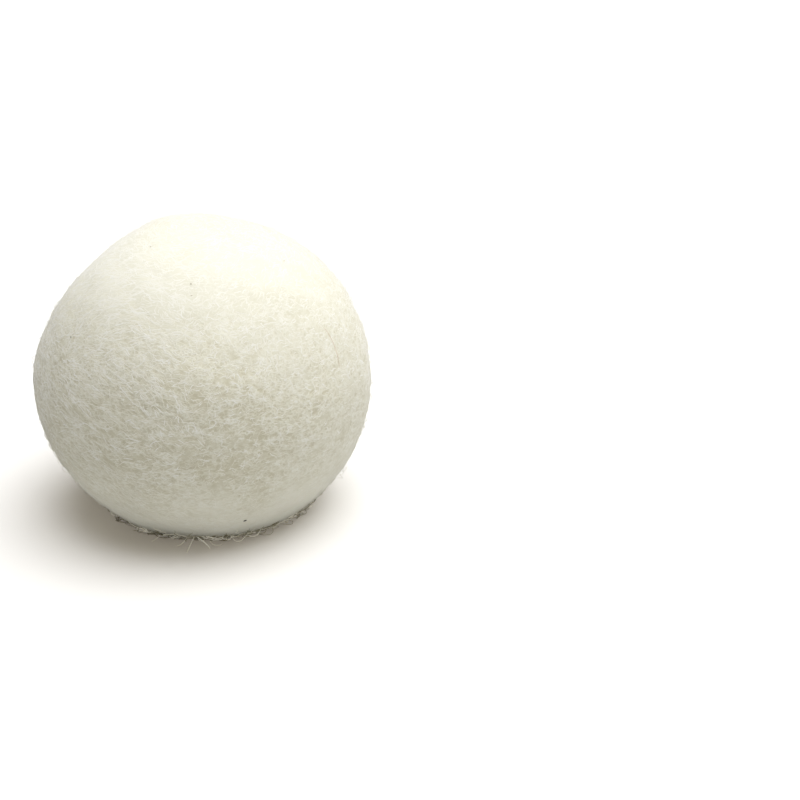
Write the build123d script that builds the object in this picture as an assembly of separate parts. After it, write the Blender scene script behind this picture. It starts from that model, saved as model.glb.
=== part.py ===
from build123d import *

import os
from math import cos, radians, sin

# A wool dryer ball, in millimetres: a tight knot of wool, a ball of wool yarn wound on it, carded wool
# wrapped over that strip by strip, and a felted white skin. Each piece is one STEP file.
# The ball stands on its pressed resting face. The origin is the middle of that face, and +Z is up.

# Driving dimensions
ball_radius = 35.7  # over the fullest part of the skin, for a ball of 70 mm nominal diameter
rest_press = 7.7  # how far the resting side is pressed in from the round
rest_edge_round = 2.5  # radius of the soft edge round the resting face
core_radius = 14.5  # the wound yarn, which is too firm to be pressed out of round
knot_radius = 6.0  # the pinch of wool that the yarn is started on

# The strips of carded wool, from the yarn outwards: outer radius, and the axis of the strip's two poles.
# Each strip is turned a quarter turn from the one below it.
strip_wraps = {
    "core_wrap_1": (18.0, Axis.X),
    "core_wrap_2": (21.5, Axis.Y),
    "core_wrap_3": (25.0, Axis.Z),
    "core_wrap_4": (28.0, Axis.X),
    "cover_wrap_1": (30.5, Axis.Y),
    "cover_wrap_2": (33.0, Axis.Z),
}
gather_height = 0.7  # the low lump at a pole, where the edges of a strip are folded in
gather_radius = 9.0  # radius of that lump's surface

# Soft flats that felting left all the way through the wraps: azimuth from +X towards +Y, elevation, depth.
soft_flats = (
    (157.0, 40.0, 2.0),
    (75.0, 68.0, 0.9),
    (25.0, 38.0, 0.7),
    (100.0, 8.0, 1.4),
    (300.0, 30.0, 0.6),
)
flat_radius = 60.0  # radius of a soft flat's own shallow curve

centre = Vector(0, 0, ball_radius - rest_press)


def press_share(radius):
    """How much of the skin's flattening reaches this deep: none at the yarn, all of it at the skin."""
    return (radius - core_radius) / (ball_radius - core_radius)


def towards(azimuth, elevation):
    """Unit vector for two angles in degrees."""
    level = cos(radians(elevation))
    return Vector(level * cos(radians(azimuth)), level * sin(radians(azimuth)), sin(radians(elevation)))


def ball(radius, middle=centre):
    return Pos(*middle) * Sphere(radius)


def gathered_poles(radius, pole_axis):
    """The two low lumps where a strip's edges are folded in, at the ends of its pole axis."""
    offset = pole_axis.direction * (radius + gather_height - gather_radius)
    return [ball(gather_radius, centre + offset), ball(gather_radius, centre - offset)]


def pressed_ball(radius, lumps=()):
    """The outside of the ball at one wrap: round, with any lumps, its soft flats and its resting face."""
    share = press_share(radius)
    body = ball(radius)
    for lump in lumps:
        body += lump
    for azimuth, elevation, depth in soft_flats:
        shift = radius - depth * share - flat_radius
        body &= ball(flat_radius, centre + towards(azimuth, elevation) * shift)
    floor = Plane(centre - Vector(0, 0, radius - rest_press * share))
    body = split(body, bisect_by=floor, keep=Keep.TOP)
    rest_edges = body.faces().sort_by(Axis.Z)[0].edges()
    return fillet(rest_edges, rest_edge_round * share)


def build_nodes():
    """Every piece by its node name, from the middle of the ball outwards."""
    knot = ball(knot_radius)
    yarn = ball(core_radius)
    nodes = {"starter_knot": knot, "yarn_winding": yarn - knot}
    inside = yarn
    for name, (radius, pole_axis) in strip_wraps.items():
        outside = pressed_ball(radius, gathered_poles(radius, pole_axis))
        nodes[name] = outside - inside
        inside = outside
    nodes["felt_skin"] = pressed_ball(ball_radius) - inside
    return nodes


os.makedirs("parts", exist_ok=True)
for node, shape in build_nodes().items():
    export_step(shape, f"parts/{node}.step")
    size = shape.bounding_box().size
    print(f"{node}: {shape.volume / 1000:.2f} cm3, {size.X:.1f} x {size.Y:.1f} x {size.Z:.1f} mm")
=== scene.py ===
import math

import bmesh
import bpy
import numpy as np
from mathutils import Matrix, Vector
from mathutils.bvhtree import BVHTree


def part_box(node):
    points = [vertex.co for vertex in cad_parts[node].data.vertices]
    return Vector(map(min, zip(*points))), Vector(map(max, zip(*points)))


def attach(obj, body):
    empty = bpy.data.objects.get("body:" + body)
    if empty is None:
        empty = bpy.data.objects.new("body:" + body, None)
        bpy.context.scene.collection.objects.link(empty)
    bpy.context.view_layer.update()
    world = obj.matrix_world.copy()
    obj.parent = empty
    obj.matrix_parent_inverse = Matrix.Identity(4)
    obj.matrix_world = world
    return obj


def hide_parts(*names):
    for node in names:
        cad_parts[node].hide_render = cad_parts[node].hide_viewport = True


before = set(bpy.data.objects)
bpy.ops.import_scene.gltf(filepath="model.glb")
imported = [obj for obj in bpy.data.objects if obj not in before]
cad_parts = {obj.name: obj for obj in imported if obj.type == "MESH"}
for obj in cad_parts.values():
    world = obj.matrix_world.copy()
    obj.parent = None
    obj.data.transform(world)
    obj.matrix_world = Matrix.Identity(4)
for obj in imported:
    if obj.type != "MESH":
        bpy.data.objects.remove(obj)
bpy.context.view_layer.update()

MM = 0.001
BODY = "root"

# The ball's own frame, read from its skin: +Z is up, and the resting face lies on the floor at z = 0.
skin_low, skin_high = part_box("felt_skin")
ball_radius = (skin_high.x - skin_low.x) / 2
ball_centre = np.array((0.0, 0.0, skin_high.z - ball_radius))

# Shape of the felt: low lumps and soft flats, over a round that lies a little inside the fullest part.
slack = 0.8 * MM
lumps = (  # azimuth from +X towards +Y, elevation, height in millimetres, and spread in degrees
    (157, 38, -2.45, 24),
    (75, 68, -0.45, 22),
    (120, 60, 0.2, 20),
    (100, 8, -1.0, 24),
    (25, 38, 0.3, 20),
    (300, 30, -0.3, 20),
    (0, 25, 0.4, 22),
    (352, 2, 0.75, 16),
    (346, -27, 0.5, 14),
    (180, 2, 0.2, 15),
    (205, -35, -0.5, 18),
    (262, -12, 0.3, 20),
    (215, -52, -1.1, 20),
    (268, -52, -0.5, 20),
    (320, -45, -0.2, 20),
    (270, 18, 0.6, 18),
    (232, 12, 0.5, 16),
    (318, 4, 0.35, 15),
    (174, 14, -0.25, 9),
    (189, -18, -0.25, 8),
)
rest_softness = 0.8 * MM  # how gently the side turns into the resting face

# Finer relief, each kind by its height and by how far apart its marks are, in millimetres
swell = (0.28, 14)
fold = (0.14, 6.5)
ripple = (0.05, 4)
bundle = (0.03, 2.8)
pit = (0.05, 0.85)
flank_slant = 0.55  # how steeply the marks on the left flank slant down, as a slope
skin_cells, lining_cells = 120, 40  # along the edge of the cube that a wall's mesh is blown up from

# Fibres in the felt: how many in a piece, points along each, distance between them, radius, and lightness
matted = (3100, 10, 0.25 * MM, 0.07 * MM, 0.14)
strand = (4200, 8, 0.26 * MM, 0.08 * MM, 0.46)
matted_height, strand_height = 0.05 * MM, 0.07 * MM  # over the felt, at most
matted_pieces, strand_pieces, loop_pieces = 3, 4, 3

# Longer loose fibres
fibre_steps = 15  # points along a fibre
fibre_radius = 0.05 * MM
loop_fibres = 2200
loop_step = 0.3 * MM
loop_root = 0.05 * MM  # how deep its two ends are in the felt
edge_step = 0.4 * MM
edge_radius = 0.08 * MM
hair_radius = 0.075 * MM

# What all fibres share: spreads are shares of the usual
length_spread = (0.4, 1.2)
crimp_length = 3.6 * MM
crimp_length_spread = (0.6, 1.5)
crimp_spread = (0.3, 1.3)
drift_spread = 0.05  # how much a fibre bends one way all along, in radians to a point
tip_share = 0.2  # thickness at the tips
pressed_flatness = 0.3
fibre_roundness = 0.4  # how much of its own round shading a fibre keeps, over that of the felt under it
along_fibre = np.linspace(0, 1, fibre_steps)
loop = np.sin(math.pi * along_fibre) ** 0.8  # height of a low loop along a fibre

# Tones of a fibre, from 0 dark to 1 light
calm_low, top_painted_light = 0.62, 0.3  # where the felt is smooth: low on the ball, and how much lighter on top, which is painted light
usual_lightness = 0.46
own_tone = 0.55  # spread between one fibre and the next where the felt is loosest
pit_shade = 0.18
darkest_tone = 0.25
painted_edge_shade = 0.85  # painted shade: how much darker the fibres are at the edge round the resting face, where the ball meets the floor

# The wraps under the felt, each with the axis of its strip's two poles
wrap_cells = 64
wrap_fibres = 700
wrap_fibre_step = 0.46 * MM
x_axis, y_axis, z_axis = (1, 0, 0), (0, 1, 0), (0, 0, 1)
wraps = (
    ("core_wrap_1", x_axis),
    ("core_wrap_2", y_axis),
    ("core_wrap_3", z_axis),
    ("core_wrap_4", x_axis),
    ("cover_wrap_1", y_axis),
    ("cover_wrap_2", z_axis),
)
knot_cells = 48

# The wound yarn
yarn_radius = 1.7 * MM
yarn_first, yarn_last = 7.75 * MM, 12.75 * MM  # how far its line is from the middle, at its two ends
yarn_groups = 7
yarn_turns = 6
yarn_steps = 90  # points along one turn
yarn_smoothing = 15  # points over which a change from one group to the next is rounded
yarn_spread = 0.62  # how far the turns of one group go towards its poles, as a share of the ball's radius
yarn_twist = 11 * MM
yarn_sides = 12
plies = 3
ply_depth = 0.16  # depth of the grooves between the plies, as a share of the yarn's radius

# Colours of the wool, each from dark to light
core_dark, core_light = (0.58, 0.54, 0.46), (0.76, 0.72, 0.64)
cover_dark, cover_light = (0.74, 0.71, 0.63), (0.88, 0.86, 0.79)
yarn_dark, yarn_light = (0.50, 0.45, 0.37), (0.74, 0.69, 0.60)
# frayed_dark is painted shade: the dark brown of the fringe under the edge of the resting face
frayed_dark, frayed_light = (0.30, 0.25, 0.13), (0.80, 0.74, 0.56)
lit_dark, lit_light = (0.56, 0.51, 0.35), (0.91, 0.88, 0.76)
lit_glow, lit_glow_strength = (0.95, 0.89, 0.72, 1), 0.24  # painted glow: the lit fibres emit this, standing in for light from behind that shows through a fibre

# Stage
floor_half = 8
floor_grey = 0.74
floor_glow, floor_glow_colour = 0.17, (1, 0.88, 0.7, 1)  # added for the camera alone
light_towards = (0.21, 0.07, 0.97)
light_edge, light_core = 0.75, 0.97  # cosine of the angle at which the light starts, and where it is full
light_strength = 5.62

# Camera: the ball stands left of the middle of the view
camera_elevation = 25
camera_distance = 0.4
camera_lens = 85
aside = 41.8 * MM
below = 4.7 * MM


def unit(vectors):
    return vectors / np.linalg.norm(vectors, axis=-1, keepdims=True)


def towards(azimuth, elevation):
    """Unit vector for two angles in degrees."""
    a, e = math.radians(azimuth), math.radians(elevation)
    return np.array((math.cos(e) * math.cos(a), math.cos(e) * math.sin(a), math.sin(e)))


def smooth_step(low, high, value):
    t = np.clip((value - low) / (high - low), 0, 1)
    return t * t * (3 - 2 * t)


def make_noise(seed):
    """A smooth noise of points in cells, from about -1 to 1, with random slopes at whole numbers."""
    rng = np.random.default_rng(seed)
    shuffle = rng.permutation(256)
    slopes = unit(rng.normal(size=(256, 3)))

    def noise(points):
        cell = np.floor(points).astype(np.int64)
        within = points - cell
        fade = within * within * within * (within * (within * 6 - 15) + 10)
        total = np.zeros(points.shape[:-1])
        for corner in np.ndindex(2, 2, 2):
            at = (cell + corner) & 255
            key = shuffle[(shuffle[(shuffle[at[..., 0]] + at[..., 1]) & 255] + at[..., 2]) & 255]
            weight = np.where(np.array(corner) == 1, fade, 1 - fade).prod(-1)
            total += weight * np.einsum("...i,...i->...", slopes[key], within - corner)
        return total * 1.6

    return noise


noises = [make_noise(seed) for seed in range(8)]


def level_and_rise(directions):
    """Two unit tangents of the ball at each direction: level along it, and uphill."""
    level = unit(np.cross((0, 0, 1), directions + (0, 0, 1e-9)) + (1e-9, 0, 0))
    return level, np.cross(directions, level)


def left_flank(directions):
    """1 on the ball's left flank, where its fibres are drawn out long and straight, and 0 on the right."""
    return smooth_step(0.25, -0.35, directions[..., 0])


def drawn(directions):
    """Points of the ball in millimetres, sheared so that marks on the left flank slant down."""
    points = directions * ball_radius / MM
    points[..., 2] += flank_slant * left_flank(directions) * points[..., 0]
    return points


def lie(directions):
    """The way the fibres mostly lie: level across the front, and aslant on the left flank."""
    level, rise = level_and_rise(directions)
    points = directions * ball_radius / MM
    across, height = directions[..., 0], directions[..., 2]
    flank = left_flank(directions)
    turn = (0.9 * noises[0](points / 19) + 0.5 * noises[1](points / 7)) * (1 - 0.5 * flank)
    turn -= 0.38 * flank * smooth_step(-0.95, -0.5, across) * smooth_step(0.6, 0.3, height)
    turn += smooth_step(-0.2, -0.7, across) * smooth_step(0.3, 0.65, height)
    return level * np.cos(turn)[..., None] + rise * np.sin(turn)[..., None]


def tousled(directions):
    """How loose the felt is: about 1 round the middle, and little on the smooth top and low down."""
    smoothest = 0.12
    wander = directions[..., 2] + 0.12 * noises[5](directions * ball_radius / MM / 12)
    middle = smooth_step(0.87, 0.35, wander) * smooth_step(-0.65, -0.08, wander)
    middle = smoothest + (1 - smoothest) * middle
    calmer_right = 1 - 0.25 * smooth_step(0.2, 0.9, directions[..., 0])
    return middle * calmer_right * (1 + 0.25 * smooth_step(0.4, 0.0, directions[..., 2]))


def pits(directions):
    """Small soft pits between the bundles of fibres, wider than high: 1 in a pit and 0 on the felt."""
    points = drawn(directions) * (0.6, 0.6, 1.3)
    swerve = 0.5 * noises[7](points / 2.5)[..., None]
    return smooth_step(-0.1, 0.65, noises[6](points / pit[1] + swerve)) * tousled(directions)


def relief(directions):
    """Height of the felt over the ball's own round at each direction, in metres."""
    height = np.full(directions.shape[:-1], -slack / MM)
    for azimuth, elevation, rise, spread in lumps:
        angle = np.degrees(np.arccos(np.clip(directions @ towards(azimuth, elevation), -1, 1)))
        height += rise * np.exp(-((angle / spread) ** 2))
    points = drawn(directions)
    height += swell[0] * noises[2](points / swell[1])
    height += fold[0] * noises[3](points / fold[1] * (0.8, 0.8, 1.2))
    height += ripple[0] * noises[7](points / ripple[1])
    height += bundle[0] * noises[4](points / bundle[1] * (0.7, 0.7, 1.4)) * tousled(directions)
    return (height - pit[0] * pits(directions)) * MM


def on_ball(directions, lift=0.0):
    """Points on the felt at each direction, lifted off it if asked, with the resting side pressed flat."""
    reach = ball_radius + relief(directions) + lift
    points = ball_centre + directions * reach[..., None]
    press_depth = ball_radius - ball_centre[2]
    pressed = 0.5 * (points[..., 2] + np.sqrt(points[..., 2] ** 2 + rest_softness**2))
    lowest = 0.5 * (-press_depth + math.sqrt(press_depth**2 + rest_softness**2))
    points[..., 2] = pressed - lowest * np.exp(-np.clip(points[..., 2], 0, None) / rest_softness)
    return points


# Meshes

def mesh_object(name, points, faces, material):
    """A smooth piece from points and an array of faces with equal numbers of corners."""
    mesh = bpy.data.meshes.new(name)
    mesh.vertices.add(len(points))
    mesh.vertices.foreach_set("co", points.ravel())
    mesh.loops.add(faces.size)
    mesh.loops.foreach_set("vertex_index", faces.ravel())
    mesh.polygons.add(len(faces))
    mesh.polygons.foreach_set("loop_start", np.arange(len(faces)) * faces.shape[1])
    mesh.polygons.foreach_set("use_smooth", np.ones(len(faces), bool))
    mesh.update(calc_edges=True)
    mesh.validate()
    mesh.materials.append(material)
    piece = bpy.data.objects.new(name, mesh)
    bpy.context.scene.collection.objects.link(piece)
    return piece


def carry(piece, attribute, values):
    """Gives a piece's mesh a value at each point, for its material to read."""
    piece.data.attributes.new(attribute, "FLOAT", "POINT").data.foreach_set("value", values)


def stand_for(piece, node):
    """Rides a piece on the ball in place of its CAD node, and gives that node the same material."""
    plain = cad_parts[node].data.materials
    plain.clear()
    plain.append(piece.data.materials[0])
    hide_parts(node)
    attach(piece, BODY)


def cube_sphere(cells):
    """Directions and quads of a cube's grid blown up to a ball, so that the quads are even all over."""
    grid = np.array([(i, j) for i in range(cells + 1) for j in range(cells + 1)])
    row = cells + 1
    first = np.array([i * row + j for i in range(cells) for j in range(cells)])
    quad = np.stack((first, first + row, first + row + 1, first + 1), axis=1)
    corners, quads = [], []
    for axis in range(3):
        for side in (0, cells):
            block = np.empty((len(grid), 3), int)
            block[:, axis] = side
            block[:, (axis + 1) % 3] = grid[:, 0]
            block[:, (axis + 2) % 3] = grid[:, 1]
            quads.append((quad if side else quad[:, ::-1]) + sum(len(c) for c in corners))
            corners.append(block)
    unique, index = np.unique(np.concatenate(corners), axis=0, return_inverse=True)
    index = index.reshape(-1)
    even = np.tan((unique / cells * 2 - 1) * math.pi / 4)
    return unit(even), index[np.concatenate(quads)]


def anywhere(rng, count):
    """Directions spread evenly over the ball by chance."""
    return unit(rng.normal(size=(count, 3)))


def fibre_paths(rng, here, flow, step, straying, crimp, steps=fibre_steps):
    """Directions along each fibre, which starts at its place and goes with the flow, with its own crimp."""
    count = len(here)
    step = step * rng.uniform(*length_spread, count)
    side = np.cross(here, flow)
    heading = rng.normal(0, straying, count) + math.pi * rng.integers(0, 2, count)
    forward = flow * np.cos(heading)[:, None] + side * np.sin(heading)[:, None]
    phase = rng.uniform(0, 2 * math.pi, count)
    waves = crimp_length * rng.uniform(*crimp_length_spread, count)
    strength = crimp * rng.uniform(*crimp_spread, count)
    drift = rng.normal(0, drift_spread, count)
    path = [here]
    angle = 2 * math.pi * step / waves  # of a wave, from one point to the next
    for k in range(steps - 1):
        turn = strength * np.cos(k * angle + phase) * angle + drift
        side = np.cross(here, forward)
        forward = unit(forward * np.cos(turn)[:, None] + side * np.sin(turn)[:, None])
        here = unit(here + forward * step[:, None] / ball_radius)
        forward = unit(forward - here * np.einsum("ij,ij->i", forward, here)[:, None])
        path.append(here)
    return np.stack(path, axis=1)


def tubes(paths, radii, flatness=1.0):
    """Closed three-sided tubes along paths of points, thin at both ends, and pressed flat if asked."""
    count, steps, _ = paths.shape
    along = unit(np.gradient(paths, axis=1))
    side = unit(np.cross(along, paths - ball_centre) + 1e-12)
    up = np.cross(side, along) * flatness
    share = np.linspace(0, 1, steps)
    from_tip = np.minimum(share, 1 - share)
    thick = radii[:, None] * np.minimum(1, tip_share + 5 * from_tip)
    rings = []
    for turn in np.radians((90, 210, 330)):
        rings.append(paths + thick[..., None] * (math.cos(turn) * side + math.sin(turn) * up))
    points = np.stack(rings, axis=2)
    corner = np.arange(3)
    following = (corner + 1) % 3
    first = 3 * np.arange(steps - 1)[:, None]
    a, b = first + corner, first + following
    walls = np.concatenate((np.stack((b, a, a + 3), axis=-1), np.stack((b, a + 3, b + 3), axis=-1)))
    last = 3 * (steps - 1)
    ends = np.array(((0, 1, 2), (last, last + 2, last + 1)))
    one = np.concatenate((walls.reshape(-1, 3), ends))
    faces = one + 3 * steps * np.arange(count)[:, None, None]
    return points.reshape(-1, 3), faces.reshape(-1, 3)


# Materials

class Shading:
    """A material being wired up: small helpers for its nodes."""

    def __init__(self, name):
        self.material = bpy.data.materials.new(name)
        self.material.use_nodes = True
        self.nodes = self.material.node_tree.nodes
        self.links = self.material.node_tree.links
        self.shader = self.nodes["Principled BSDF"]
        self.place = self.nodes.new("ShaderNodeTexCoord").outputs["Object"]

    def give(self, socket, value):
        if isinstance(value, bpy.types.NodeSocket):
            self.links.new(value, socket)
        else:
            socket.default_value = value

    def plain(self, **values):
        """Sets the shader's own sockets, named with underscores for spaces."""
        for name, value in values.items():
            self.shader.inputs[name.replace("_", " ")].default_value = value

    def sums(self, operation, *values, clamp=False):
        node = self.nodes.new("ShaderNodeMath")
        node.operation = operation
        node.use_clamp = clamp
        for socket, value in zip(node.inputs, values):
            self.give(socket, value)
        return node.outputs[0]

    def vectors(self, operation, *values):
        node = self.nodes.new("ShaderNodeVectorMath")
        node.operation = operation
        for socket, value in zip(node.inputs, values):
            self.give(socket, value)
        return node.outputs[0]

    def stretched(self, scale, turn=(0, 0, 0), shift=(0, 0, 0)):
        node = self.nodes.new("ShaderNodeMapping")
        self.links.new(self.place, node.inputs["Vector"])
        node.inputs["Scale"].default_value = scale
        node.inputs["Rotation"].default_value = [math.radians(a) for a in turn]
        node.inputs["Location"].default_value = shift
        return node.outputs["Vector"]

    def noise(self, vector, across, detail=2.0, roughness=0.5, warp=0.0, output="Fac"):
        """Noise whose features measure about this far across, in metres."""
        node = self.nodes.new("ShaderNodeTexNoise")
        self.links.new(vector, node.inputs["Vector"])
        node.inputs["Scale"].default_value = 1 / across
        node.inputs["Detail"].default_value = detail
        node.inputs["Roughness"].default_value = roughness
        node.inputs["Distortion"].default_value = warp
        return node.outputs[output]

    def fade(self, value, low, high):
        """0 at low and 1 at high, with soft ends."""
        node = self.nodes.new("ShaderNodeMapRange")
        node.interpolation_type = "SMOOTHSTEP"
        self.links.new(value, node.inputs["Value"])
        node.inputs["From Min"].default_value = low
        node.inputs["From Max"].default_value = high
        return node.outputs["Result"]

    def strands(self, vector, mesh, width, curl):
        """A net of thin curly lines of one width, which come and go: 1 on a line and 0 beside it."""
        swirl = self.noise(vector, 1.1 * mesh, 1.0, output="Color")
        bend = self.vectors("SUBTRACT", swirl, (0.5, 0.5, 0.5))
        bent = self.vectors("ADD", vector, self.vectors("MULTIPLY", bend, (curl, curl, curl)))
        cells = self.nodes.new("ShaderNodeTexVoronoi")
        cells.feature = "DISTANCE_TO_EDGE"
        cells.inputs["Scale"].default_value = 1 / mesh
        self.links.new(bent, cells.inputs["Vector"])
        line = self.fade(cells.outputs["Distance"], width / mesh, 0.0)
        return self.sums("MULTIPLY", line, self.fade(self.noise(vector, 2.2 * mesh, 1.0), 0.38, 0.62))

    def own(self, attribute):
        """A value that the mesh itself carries, point by point."""
        node = self.nodes.new("ShaderNodeAttribute")
        node.attribute_name = attribute
        return node.outputs["Fac"]

    def ramp(self, factor, *stops):
        node = self.nodes.new("ShaderNodeValToRGB")
        elements = node.color_ramp.elements
        while len(elements) < len(stops):
            elements.new(0.5)
        for element, (position, colour) in zip(elements, stops):
            element.position = position
            element.color = (*colour, 1)
        self.links.new(factor, node.inputs["Fac"])
        return node.outputs["Color"]

    def bump(self, height, distance, strength=1.0):
        node = self.nodes.new("ShaderNodeBump")
        node.inputs["Distance"].default_value = distance
        node.inputs["Strength"].default_value = strength
        self.links.new(height, node.inputs["Height"])
        self.links.new(node.outputs["Normal"], self.shader.inputs["Normal"])


def felt_material():
    """Matted cream wool: a tangle of light strands over a slightly yellower ground with small soft pits.
    Painted shade darkens the pits, the looser felt round the middle and the edge round the resting face.
    """
    felt = Shading("wool_felt")
    felt.plain(Roughness=0.95, Sheen_Weight=0.25, Sheen_Roughness=0.5, Specular_IOR_Level=0.1)
    layers = (
        felt.strands(felt.stretched((0.8, 0.8, 1.5)), 1.9 * MM, 0.30 * MM, 3.2 * MM),
        felt.strands(
            felt.stretched((0.8, 0.8, 1.3), (25, 20, 0), (3, 1, 2)), 1.5 * MM, 0.24 * MM, 2.6 * MM
        ),
        felt.strands(
            felt.stretched((0.9, 0.9, 1.4), (-20, -30, 40), (7, 5, 9)), 1.1 * MM, 0.18 * MM, 1.8 * MM
        ),
    )
    tangle = felt.sums("ADD", felt.sums("ADD", layers[0], layers[1]), layers[2])
    tangle = felt.sums("MULTIPLY", tangle, felt.own("loose"))
    mottle = felt.noise(felt.place, 9 * MM, 3)
    ground, darkest = 0.38, 0.2
    lighter = felt.sums("ADD", felt.sums("MULTIPLY", tangle, 0.28), felt.sums("MULTIPLY", mottle, 0.3))
    # painted shade: the felt is darker in its pits
    in_pits = felt.sums("SUBTRACT", lighter, felt.sums("MULTIPLY", felt.own("pit"), 0.3))
    # painted shade: the ground is darker where the felt is loose, round the middle of the ball, and lighter
    # on the smooth top, on the right and in the lowest band
    shade = felt.sums("MULTIPLY", felt.own("loose"), 0.34)
    tone = felt.sums("SUBTRACT", felt.sums("ADD", in_pits, ground), shade, clamp=True)
    tone = felt.sums("ADD", felt.sums("MULTIPLY", tone, 1 - darkest), darkest)
    # painted shade: the felt darkens towards the edge where the ball rests on the floor
    tone = felt.sums("MULTIPLY", tone, felt.own("unshaded"))
    stops = (
        # the darkest stop is reached only in the painted shade at the edge of the resting face
        (0.0, (0.28, 0.24, 0.14)),
        (0.2, (0.61, 0.57, 0.42)),
        (0.48, (0.75, 0.725, 0.59)),
        (0.84, (0.87, 0.855, 0.76)),
    )
    felt.give(felt.shader.inputs["Base Color"], felt.ramp(tone, *stops))
    felt.bump(tangle, 0.05 * MM, 0.5)
    return felt.material


def fibre_material(name, *stops):
    """Single wool fibres, each with its own tone from dark to light."""
    fibre = Shading(name)
    fibre.plain(Roughness=0.7, Sheen_Weight=0.25, Sheen_Roughness=0.5, Specular_IOR_Level=0.2)
    mottle = fibre.sums("SUBTRACT", fibre.noise(fibre.place, 3 * MM, 2), 0.5)
    tone = fibre.sums("ADD", fibre.own("tone"), fibre.sums("MULTIPLY", mottle, 0.3))
    fibre.give(fibre.shader.inputs["Base Color"], fibre.ramp(tone, *stops))
    return fibre.material


def carded_material(name, along, dark, light):
    """Carded wool laid round the ball: fine streaks that run level round the strip's two poles."""
    wool = Shading(name)
    wool.plain(Roughness=0.95, Sheen_Weight=0.15, Sheen_Roughness=0.5, Specular_IOR_Level=0.1)
    finer = [7.0 if part else 1.0 for part in along]
    streaks = wool.noise(wool.stretched(finer), 7 * MM, 4, 0.65, 0.3)
    wisps = wool.noise(wool.stretched(finer, shift=(3, 5, 7)), 2.4 * MM, 3, 0.6, 0.6)
    mottle = wool.noise(wool.place, 9 * MM, 2)
    grain = wool.sums("ADD", wool.sums("MULTIPLY", streaks, 0.6), wool.sums("MULTIPLY", wisps, 0.4))
    tone = wool.sums("ADD", wool.sums("MULTIPLY", grain, 0.75), wool.sums("MULTIPLY", mottle, 0.25))
    wool.give(wool.shader.inputs["Base Color"], wool.ramp(tone, (0.34, dark), (0.62, light)))
    wool.bump(grain, 0.25 * MM, 0.7)
    return wool.material


def yarn_material(dark, light):
    """Soft twisted yarn: darker in the grooves between its plies, which is painted shade, with fine fibres
    along the twist.
    """
    yarn = Shading("wool_yarn")
    yarn.plain(Roughness=0.9, Sheen_Weight=0.2, Sheen_Roughness=0.5, Specular_IOR_Level=0.15)
    fuzz = yarn.noise(yarn.place, 0.5 * MM, 3, 0.7, 0.8)
    mottle = yarn.noise(yarn.place, 7 * MM, 2)
    tone = yarn.sums("ADD", yarn.sums("MULTIPLY", fuzz, 0.35), yarn.sums("MULTIPLY", mottle, 0.25))
    # painted shade: lighter on the crowns of the plies and darker in the grooves
    tone = yarn.sums("ADD", tone, yarn.sums("MULTIPLY", yarn.own("crown"), 0.4))
    yarn.give(yarn.shader.inputs["Base Color"], yarn.ramp(tone, (0.25, dark), (0.75, light)))
    yarn.bump(fuzz, 0.12 * MM, 0.6)
    return yarn.material


def fleck_material():
    """Dry plant matter: each bit has its own tone, from nearly black to straw."""
    fleck = Shading("plant_fleck")
    fleck.plain(Roughness=0.7, Specular_IOR_Level=0.3)
    grain = fleck.sums("SUBTRACT", fleck.noise(fleck.place, 0.25 * MM, 2), 0.5)
    tone = fleck.sums("ADD", fleck.own("tone"), fleck.sums("MULTIPLY", grain, 0.5))
    stops = ((0.1, (0.05, 0.04, 0.03)), (0.9, (0.52, 0.46, 0.34)))
    fleck.give(fleck.shader.inputs["Base Color"], fleck.ramp(tone, *stops))
    return fleck.material


def hair_material():
    """A coarse tan hair, with lighter and darker stretches."""
    hair = Shading("tan_hair")
    hair.plain(Roughness=0.5, Specular_IOR_Level=0.4)
    tone = hair.noise(hair.place, 2 * MM, 1)
    stops = ((0.3, (0.42, 0.29, 0.16)), (0.7, (0.62, 0.47, 0.31)))
    hair.give(hair.shader.inputs["Base Color"], hair.ramp(tone, *stops))
    return hair.material


# Fibres

def add_fibres(name, points, radii, tones, material, facing=None):
    """A piece of separate fibres, all above the floor. Light soaks through wool, so they shade with what
    they lie on and keep no light from it. Facing is the way that it is turned. Without it, they lie pressed
    flat on the ball."""
    height = np.maximum(points[..., 2:], radii[:, None, None])
    points = np.concatenate((points[..., :2], height), axis=-1)
    vertices, faces = tubes(points, radii, pressed_flatness if facing is None else 1.0)
    piece = mesh_object(name, vertices, faces, material)
    carry(piece, "tone", np.repeat(tones.ravel(), 3))
    round_the_fibre = unit(vertices - np.repeat(points.reshape(-1, 3), 3, axis=0))
    if facing is None:
        outwards = unit(vertices - ball_centre)
        roundness = fibre_roundness * tousled(outwards)[:, None]
    else:
        outwards = unit(np.repeat(facing.reshape(-1, 3), 3, axis=0))
        roundness = fibre_roundness
    normals = unit(outwards + roundness * round_the_fibre)
    piece.data.normals_split_custom_set_from_vertices(normals.tolist())
    piece.visible_shadow = False
    piece.visible_diffuse = False
    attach(piece, BODY)


def resting_edge_shade_mask(points):
    """Mask of painted shade: 1 on the frayed edge at the resting face, where the ball meets the floor, and
    0 from a little way up the side.
    """
    ragged = points[..., 2] / MM + 0.3 * noises[3](points / MM / 1.6) + 0.35 * noises[2](points / MM / 7)
    return smooth_step(1.35, 0.75, ragged)


def fibre_tones(rng, paths, lightness):
    """Each fibre's own tone, even where the felt is smooth. Painted light makes smooth fibres lighter on
    top, and painted shade makes them darker in a pit and at the edge of the resting face.
    """
    own = own_tone * rng.uniform(-0.5, 0.5, (len(paths), 1))
    # painted light: smooth fibres are lighter towards the top of the ball
    calm = calm_low + top_painted_light * smooth_step(-0.4, 0.4, paths[..., 2])
    # painted shade: fibres are darker in a pit
    tone = calm + (own + lightness - usual_lightness) * tousled(paths) - pit_shade * pits(paths)
    # painted shade: fibres darken at the edge where the ball rests on the floor
    return np.maximum(tone, darkest_tone) * (1 - painted_edge_shade * resting_edge_shade_mask(on_ball(paths)))


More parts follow.
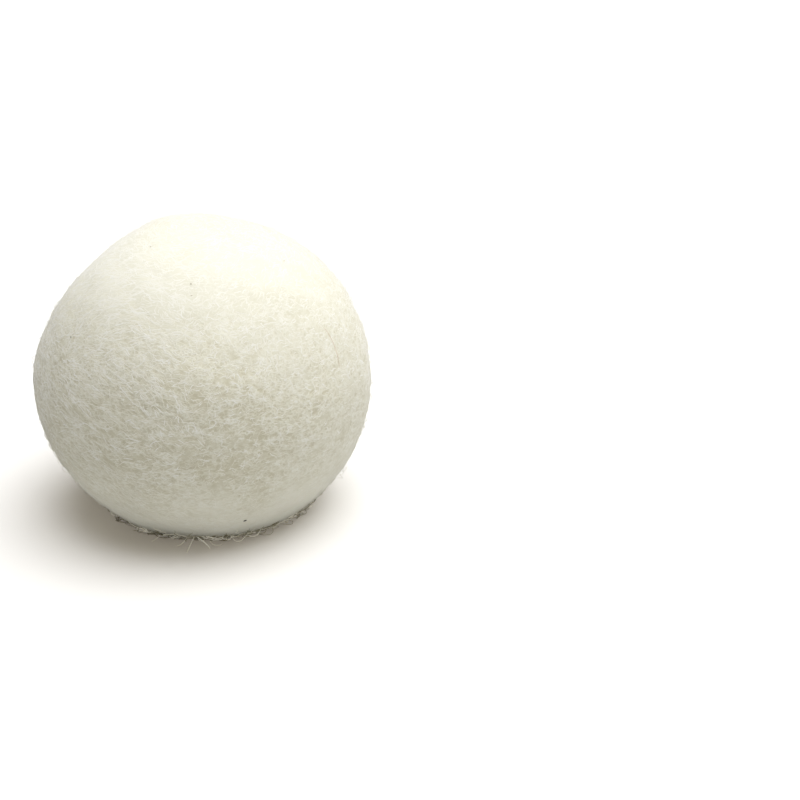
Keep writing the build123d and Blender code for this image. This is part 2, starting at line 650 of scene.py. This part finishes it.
def lie_on_felt(rng, name, kind, height, wool):
    """Fibres matted into the felt: each runs over and under its neighbours, close to the surface. On the
    left flank they are longer and straighter."""
    count, steps, step, radius, lightness = kind
    starts = anywhere(rng, count)
    flank = left_flank(starts)
    combed = 1 - 0.55 * flank
    drawn_out = step * (1 + 0.9 * flank)
    paths = fibre_paths(rng, starts, lie(starts), drawn_out, 0.38 * combed, 0.7 * combed, steps)
    waves = rng.uniform(0.5, 2.0, (count, 1))
    along = np.linspace(0, 1, steps)
    wave = np.sin(2 * math.pi * (along * waves + rng.uniform(0, 1, (count, 1))))
    lift = height * rng.uniform(0.0, 1.0, (count, 1)) + 0.05 * MM * wave
    radii = radius * rng.uniform(0.6, 1.4, count)
    add_fibres(name, on_ball(paths, lift), radii, fibre_tones(rng, paths, lightness), wool)


def add_edge_fibres(rng, name, count, elevations, lift, straying, crimp, bulge, tones, radii, wool, shaded_near_ball):
    """Fibres along the edge of the resting face, which bulge outwards over the floor. Those shaded near the
    ball are darker where they bulge least, close under it, which is painted shade."""
    azimuths = rng.uniform(0, 360, count)
    starts = np.array([towards(a, e) for a, e in zip(azimuths, rng.uniform(*elevations, count))])
    paths = fibre_paths(rng, starts, lie(starts), edge_step, straying, crimp)
    points = on_ball(paths, lift)
    bulges = rng.gamma(*bulge, (count, 1)) * loop
    outwards = unit(points * (1, 1, 0) + (0, 0, 1e-9))
    points = points + outwards * bulges[..., None] * MM
    # painted shade: fringe fibres that stay close under the ball are darker
    shade = smooth_step(-0.5, 0.7, bulges) if shaded_near_ball else np.ones(bulges.shape)
    own = rng.uniform(*tones, (count, 1)) * shade
    thickness = edge_radius * rng.uniform(*radii, count)
    add_fibres(name, points, thickness, own, wool, facing=outwards - (0, 0, 0.2))


def bezier(points):
    """A smooth line from four points: it starts at the first, ends at the last and leans to the others."""
    a, b, c, d = np.array(points)[:, None]
    t = along_fibre[:, None]
    return a * (1 - t) ** 3 + 3 * b * t * (1 - t) ** 2 + 3 * c * t**2 * (1 - t) + d * t**3


def flake(rng, azimuth, elevation, length, turn):
    """Points and faces of one bit of plant: a thin uneven chip that lies half sunk in the felt."""
    out = towards(azimuth, elevation)
    level, rise = level_and_rise(out)
    along = level * math.cos(math.radians(turn)) + rise * math.sin(math.radians(turn))
    across = np.cross(out, along)
    chip = bmesh.new()
    bmesh.ops.create_icosphere(chip, subdivisions=2, radius=0.5)
    round_points = np.array([v.co for v in chip.verts])
    faces = np.array([[v.index for v in f.verts] for f in chip.faces])
    chip.free()
    uneven = round_points * (1 + 0.5 * noises[1](round_points * 2 + rng.uniform(0, 50, 3)))[:, None]
    scaled = uneven * (length, 0.4 * length, 0.25 * length) * MM
    return on_ball(out, 0.14 * MM) + scaled @ np.array((along, across, out)), faces


# The insides: each wrap follows its CAD solid's two walls.

def wall_tree(name):
    """The faces of a CAD node, ready for rays."""
    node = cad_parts[name]
    corners = [node.matrix_world @ v.co for v in node.data.vertices]
    return BVHTree.FromPolygons(corners, [tuple(p.vertices) for p in node.data.polygons])


def wall_reach(tree, directions, outer):
    """How far a node's outer or inner wall is from the ball's centre in each direction. A ray that slips
    between two faces is answered by the wall's nearest point."""
    centre = Vector(ball_centre)
    reach = []
    for direction in directions.reshape(-1, 3):
        out = Vector(direction)
        start = centre + out * 2 * ball_radius if outer else centre
        hit = tree.ray_cast(start, -out if outer else out)[0]
        if hit is None:
            hit = tree.find_nearest(start)[0]
        reach.append((hit - centre).length)
    return np.reshape(reach, directions.shape[:-1])


def strip_relief(directions, along, seed):
    """Depth of a strip's streaks, of the folds gathered at its poles and of its overlaps, in metres."""
    height = directions @ along
    level = directions - height[..., None] * along
    reach = ball_radius / MM
    streaks = noises[seed](directions * reach / 9 + (height * reach / 0.9)[..., None] * along)
    folds = noises[seed + 1](unit(level + 1e-9) * 3.2 + height[..., None] * 2 * along)
    at_pole = smooth_step(0.82, 0.95, np.abs(height))
    wander = np.abs(height) + 0.1 * noises[seed + 2](directions * 3)
    overlap = smooth_step(0.5, 0.53, wander)
    depth = 0.2 + 0.1 * streaks * (1 - at_pole) + 0.22 * folds * at_pole - 0.08 * overlap * (1 - at_pole)
    return np.maximum(depth, 0.03) * MM


def join_walls(outer_points, outer_faces, inner_points, inner_faces):
    """One hollow shell from its outer wall and its inner wall, which is turned to face inwards."""
    faces = np.concatenate((outer_faces, inner_faces[:, ::-1] + len(outer_points)))
    return np.concatenate((outer_points, inner_points)), faces


def add_wrap(rng, node, along, wool, fibre_wool, seed):
    """One wrap of carded wool, and the loose fibres on it."""
    along = np.array(along)
    tree = wall_tree(node)
    directions, quads = cube_sphere(wrap_cells)
    reach = wall_reach(tree, directions, True) - strip_relief(directions, along, seed)
    outer = ball_centre + directions * reach[:, None]
    few, few_quads = cube_sphere(lining_cells)
    inner = ball_centre + few * wall_reach(tree, few, False)[:, None]
    piece = mesh_object(node + "_wool", *join_walls(outer, quads, inner, few_quads), wool)
    stand_for(piece, node)
    starts = anywhere(rng, wrap_fibres)
    flow = unit(np.cross(along, starts) + 1e-9)
    paths = fibre_paths(rng, starts, flow, wrap_fibre_step, straying=0.15, crimp=0.3)
    depth = strip_relief(paths, along, seed) + rng.uniform(-0.02, 0.03, (wrap_fibres, 1)) * MM
    points = ball_centre + paths * (wall_reach(tree, paths, True) - np.maximum(depth, 0))[..., None]
    tones = np.repeat(rng.uniform(0.2, 1.0, wrap_fibres), fibre_steps)
    radii = fibre_radius * rng.uniform(0.6, 1.2, wrap_fibres)
    add_fibres(node + "_fibres", points, radii, tones, fibre_wool)


def yarn_line(rng):
    """Points along the yarn from the knot outwards, in groups of turns that lie side by side."""
    here = unit(rng.normal(size=3))
    ahead = unit(np.cross(here, rng.normal(size=3)))
    line = []
    for _ in range(yarn_groups):
        veer = math.radians(rng.uniform(45, 80)) * rng.choice((-1, 1))
        ahead = ahead * math.cos(veer) + np.cross(here, ahead) * math.sin(veer)
        pole = unit(-yarn_spread * here + math.sqrt(1 - yarn_spread**2) * np.cross(here, ahead))
        first = unit(here - pole * (here @ pole))
        second = np.cross(pole, first)
        if second @ ahead < 0:
            second = -second
        turned = np.linspace(0, 2 * math.pi * yarn_turns, yarn_steps * yarn_turns, endpoint=False)
        lean = yarn_spread * (2 * turned / turned[-1] - 1)
        level = np.sqrt(1 - lean**2)
        turn = level * np.cos(turned) * first[:, None] + level * np.sin(turned) * second[:, None]
        directions = (turn + lean * pole[:, None]).T
        line.append(directions)
        here = directions[-1]
        ahead = unit(directions[-1] - directions[-2])
    line = np.concatenate(line)
    reach = np.linspace(yarn_first, yarn_last, len(line))
    points = line * reach[:, None]
    window = np.hanning(yarn_smoothing)
    window = window / window.sum()
    padded = np.pad(points, ((yarn_smoothing // 2, yarn_smoothing // 2), (0, 0)), mode="edge")
    smooth = np.stack([np.convolve(padded[:, i], window, mode="valid") for i in range(3)], axis=-1)
    return ball_centre + unit(smooth) * reach[:, None]


def sweep_yarn(line):
    """A tube of twisted plies along the yarn's line, and how far each point is out of the grooves."""
    along = unit(np.gradient(line, axis=0))
    side = unit(np.cross(along, line - ball_centre))
    up = np.cross(side, along)
    length = np.concatenate(([0], np.cumsum(np.linalg.norm(np.diff(line, axis=0), axis=1))))
    turn = np.linspace(0, 2 * math.pi, yarn_sides, endpoint=False)
    ply = 0.5 + 0.5 * np.cos(plies * (turn[None] - 2 * math.pi * length[:, None] / yarn_twist))
    crown = np.sqrt(ply)
    reach = yarn_radius * (1 - ply_depth + ply_depth * crown)[..., None]
    around = np.cos(turn)[None, :, None] * side[:, None] + np.sin(turn)[None, :, None] * up[:, None]
    points = line[:, None] + around * reach
    corner = np.arange(yarn_sides)
    following = (corner + 1) % yarn_sides
    first = yarn_sides * np.arange(len(line) - 1)[:, None]
    a, b = first + corner, first + following
    walls = np.stack((b, a, a + yarn_sides, b + yarn_sides), axis=-1).reshape(-1, 4)
    cap = np.array([(0, k, k + 1, k + 2) for k in range(1, yarn_sides - 2, 2)])
    faces = np.concatenate((walls, cap, cap[:, ::-1] + yarn_sides * (len(line) - 1)))
    return points.reshape(-1, 3), faces, crown.ravel()


# Wool

felt = felt_material()
fibre = fibre_material(
    "wool_fibre",
    # the darkest stop is reached mostly in the painted shade at the edge of the resting face
    (0.0, (0.30, 0.26, 0.15)),
    (0.2, (0.65, 0.61, 0.455)),
    (0.65, (0.81, 0.78, 0.65)),
    (1.0, (0.895, 0.88, 0.81)),
)
frayed_fibre = fibre_material("frayed_fibre", (0.0, frayed_dark), (1.0, frayed_light))
# painted light and painted glow: the lit fibres are lighter than the others and emit light
lit_fibre = fibre_material("lit_fibre", (0.0, lit_dark), (1.0, lit_light))
lit_shader = lit_fibre.node_tree.nodes["Principled BSDF"].inputs
lit_shader["Emission Color"].default_value = lit_glow
lit_shader["Emission Strength"].default_value = lit_glow_strength
core_fibre = fibre_material("core_fibre", (0.0, core_dark), (1.0, core_light))
cover_fibre = fibre_material("cover_fibre", (0.0, cover_dark), (1.0, cover_light))

# The felt

directions, quads = cube_sphere(skin_cells)
points = on_ball(directions)
few, few_quads = cube_sphere(lining_cells)
lining = ball_centre + few * wall_reach(wall_tree("felt_skin"), few, False)[:, None]
skin = mesh_object("felt_surface", *join_walls(points, quads, lining, few_quads), felt)
unseen = np.zeros(len(few))
carry(skin, "loose", np.concatenate((tousled(directions), unseen)))
carry(skin, "pit", np.concatenate((pits(directions), unseen)))
# painted shade at the edge round the resting face, for the felt to read
carry(skin, "unshaded", np.concatenate((1 - 0.95 * resting_edge_shade_mask(points), unseen + 1)))
stand_for(skin, "felt_skin")

rng = np.random.default_rng(11)
for number in range(1, matted_pieces + 1):
    lie_on_felt(rng, f"matted_fibres_{number}", matted, matted_height, fibre)
for number in range(1, strand_pieces + 1):
    lie_on_felt(rng, f"light_strands_{number}", strand, strand_height, fibre)

# Loose fibres that stand off the felt in low loops
for number in range(1, loop_pieces + 1):
    starts = anywhere(rng, loop_fibres)
    paths = fibre_paths(rng, starts, lie(starts), loop_step, straying=1.2, crimp=1.2)
    lift = rng.gamma(1.4, 0.16, (loop_fibres, 1)) * MM * loop - loop_root
    radii = fibre_radius * rng.uniform(0.5, 1.0, loop_fibres)
    tones = fibre_tones(rng, paths, lightness=0.3)
    add_fibres(f"flyaway_fibres_{number}", on_ball(paths, lift), radii, tones, fibre, facing=paths)

# The frayed edge round the resting face, dark with painted shade, and the lighter curls that stand out of
# it, light with painted light
add_edge_fibres(
    rng,
    "edge_fringe",
    count=1000,
    elevations=(-54, -50),
    lift=0.05 * MM,
    straying=0.7,
    crimp=1.4,
    bulge=(1.1, 0.5),
    tones=(0.0, 0.75),
    radii=(0.5, 1.1),
    wool=frayed_fibre,
    shaded_near_ball=True,
)
# painted light: the curls use the lit fibre, lighter and glowing
add_edge_fibres(
    rng,
    "edge_curls",
    count=150,
    elevations=(-52, -48),
    lift=0.1 * MM,
    straying=0.8,
    crimp=1.3,
    bulge=(2.0, 0.38),
    tones=(0.4, 1.0),
    radii=(0.6, 1.1),
    wool=lit_fibre,
    shaded_near_ball=False,
)

# Long strays at the front of the edge, each by its four bezier points in millimetres
strays = (
    ((-0.6, -22.2, 2.4), (-0.9, -23.6, 1.9), (-1.7, -24.8, 1.0), (-2.0, -25.8, 0.1)),
    ((-0.6, -22.2, 2.3), (0.6, -23.6, 2.2), (2.2, -24.4, 1.5), (2.6, -24.3, 0.3)),
    ((6.9, -21.9, 1.9), (8.0, -22.9, 0.2), (9.2, -22.3, 1.2), (10.2, -21.6, 2.2)),
    ((10.2, -21.6, 2.2), (11.4, -21.8, 1.2), (12.4, -21.0, 1.6), (12.9, -19.8, 2.6)),
    ((15.2, -17.4, 1.9), (17.0, -15.8, 1.6), (18.6, -13.9, 2.6), (19.3, -14.8, 1.2)),
    ((-7.8, -21.6, 2.2), (-8.4, -22.4, 1.6), (-9.2, -22.0, 0.9), (-9.9, -21.2, 0.3)),
    ((-2.2, -22.3, 2.0), (-2.9, -23.3, 1.0), (-3.8, -23.2, 0.3), (-4.5, -22.9, 0.15)),
    ((2.2, -22.4, 1.6), (3.0, -23.5, 0.4), (4.4, -23.6, 0.2), (5.2, -22.8, 0.8)),
)
points = np.array([bezier(stray) for stray in strays]) * MM
radii = np.array((1.4, 1.8, 1.1, 1.1, 0.8, 0.8, 0.8, 0.8)) * edge_radius
forwards = unit(points * (1, 1, 0)) - (0, 0, 0.2)
# painted light: the strays are fully light and glow with the lit fibre
add_fibres("edge_strays", points, radii, np.ones(points.shape[:2]), lit_fibre, facing=forwards)

# Bits of plant caught in the felt: azimuth, elevation, length in millimetres, turn from level, and tone
flakes = (
    (291, -34.5, 0.8, 20, 0.0),
    (272.5, 56, 0.5, -70, 0.9),
    (273, 51.5, 0.4, 15, 0.9),
    (227, 70, 0.35, 60, 1.0),
    (219, 30, 0.45, -60, 0.2),
    (340, 56, 0.4, 35, 0.95),
    (60, 20, 0.5, 40, 0.3),
    (128, -8, 0.6, -30, 0.6),
    (15, 48, 0.4, 70, 0.8),
)
vertices, faces, tones = [], [], []
for *place, tone in flakes:
    points, sides = flake(rng, *place)
    faces.append(sides + sum(len(v) for v in vertices))
    vertices.append(points)
    tones.append(np.full(len(points), tone))
tones = np.concatenate(tones)
bits = mesh_object("plant_flecks", np.concatenate(vertices), np.concatenate(faces), fleck_material())
carry(bits, "tone", tones)
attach(bits, BODY)

# One coarse hair on the right-hand side
hair_places = ((331.0, 30.5), (333.0, 26.0), (333.0, 20.5), (331.0, 15.5))
hair_line = on_ball(unit(bezier([towards(*place) for place in hair_places]))[None], 0.1 * MM)
untoned = np.zeros(fibre_steps)
add_fibres("tan_hair", hair_line, np.array([hair_radius]), untoned, hair_material())

# The wraps under the felt
carded = {}
for seed, (node, along) in enumerate(wraps):
    slot = "core_wool" if node.startswith("core") else "cover_wool"
    dark, light = (core_dark, core_light) if slot == "core_wool" else (cover_dark, cover_light)
    if (slot, along) not in carded:
        carded[slot, along] = carded_material(f"{slot}_carded_{len(carded)}", along, dark, light)
    loose_wool = core_fibre if slot == "core_wool" else cover_fibre
    add_wrap(rng, node, along, carded[slot, along], loose_wool, seed)

# The wound yarn
vertices, faces, crown = sweep_yarn(yarn_line(rng))
yarn = mesh_object("wound_yarn", vertices, faces, yarn_material(yarn_dark, yarn_light))
carry(yarn, "crown", crown)
stand_for(yarn, "yarn_winding")

# The pinch of wool in the middle
directions, quads = cube_sphere(knot_cells)
knot_reach = wall_reach(wall_tree("starter_knot"), directions, True)
creases = np.abs(noises[2](directions * 1.7)) + 0.4 * np.abs(noises[3](directions * 4))
knot_points = ball_centre + directions * (knot_reach - (0.9 * creases + 0.03) * MM)[:, None]
knot = mesh_object("knotted_wool", knot_points, quads, carded[("core_wool", x_axis)])
stand_for(knot, "starter_knot")

# Stage: a pale floor, an overhead softbox as a lobe in the world, and a white backdrop

floor_mesh = bpy.data.meshes.new("floor")
corners = [(x * floor_half, y * floor_half, 0) for x, y in ((-1, -1), (1, -1), (1, 1), (-1, 1))]
floor_mesh.from_pydata(corners, [], [(0, 1, 2, 3)])
floor = bpy.data.objects.new("floor", floor_mesh)
bpy.context.scene.collection.objects.link(floor)
pale = Shading("pale_floor")
pale.plain(Base_Color=(floor_grey, floor_grey, floor_grey, 1), Roughness=0.9)
pale.plain(Emission_Color=floor_glow_colour)
looked_at = pale.nodes.new("ShaderNodeLightPath").outputs["Is Camera Ray"]
pale.give(pale.shader.inputs["Emission Strength"], pale.sums("MULTIPLY", looked_at, floor_glow))
floor_mesh.materials.append(pale.material)

world = bpy.data.worlds.new("studio")
world.use_nodes = True
nodes, links = world.node_tree.nodes, world.node_tree.links
nodes["Background"].inputs["Color"].default_value = (1, 1, 1, 1)
direction = nodes.new("ShaderNodeTexCoord")
towards_light = nodes.new("ShaderNodeVectorMath")
towards_light.operation = "DOT_PRODUCT"
towards_light.inputs[1].default_value = Vector(light_towards).normalized()
links.new(direction.outputs["Generated"], towards_light.inputs[0])
glow = nodes.new("ShaderNodeMapRange")
glow.interpolation_type = "SMOOTHSTEP"
glow.inputs["From Min"].default_value = light_edge
glow.inputs["From Max"].default_value = light_core
glow.inputs["To Max"].default_value = light_strength
links.new(towards_light.outputs["Value"], glow.inputs["Value"])
seen = nodes.new("ShaderNodeLightPath")
backdrop = nodes.new("ShaderNodeMix")
links.new(seen.outputs["Is Camera Ray"], backdrop.inputs["Factor"])
links.new(glow.outputs["Result"], backdrop.inputs["A"])
backdrop.inputs["B"].default_value = 1.0
links.new(backdrop.outputs["Result"], nodes["Background"].inputs["Strength"])
bpy.context.scene.world = world
bpy.context.scene.view_settings.view_transform = "Standard"

# Camera

camera = bpy.data.objects.new("camera", bpy.data.cameras.new("camera"))
camera.data.lens = camera_lens
slope = math.radians(camera_elevation)
back = Vector((0, -math.cos(slope), math.sin(slope)))
up = Vector((0, math.sin(slope), math.cos(slope)))
aim = Vector(ball_centre) + Vector((aside, 0, 0)) - up * below
camera.location = aim + back * camera_distance
camera.rotation_euler = (-back).to_track_quat("-Z", "Y").to_euler()
bpy.context.scene.collection.objects.link(camera)
bpy.context.scene.camera = camera
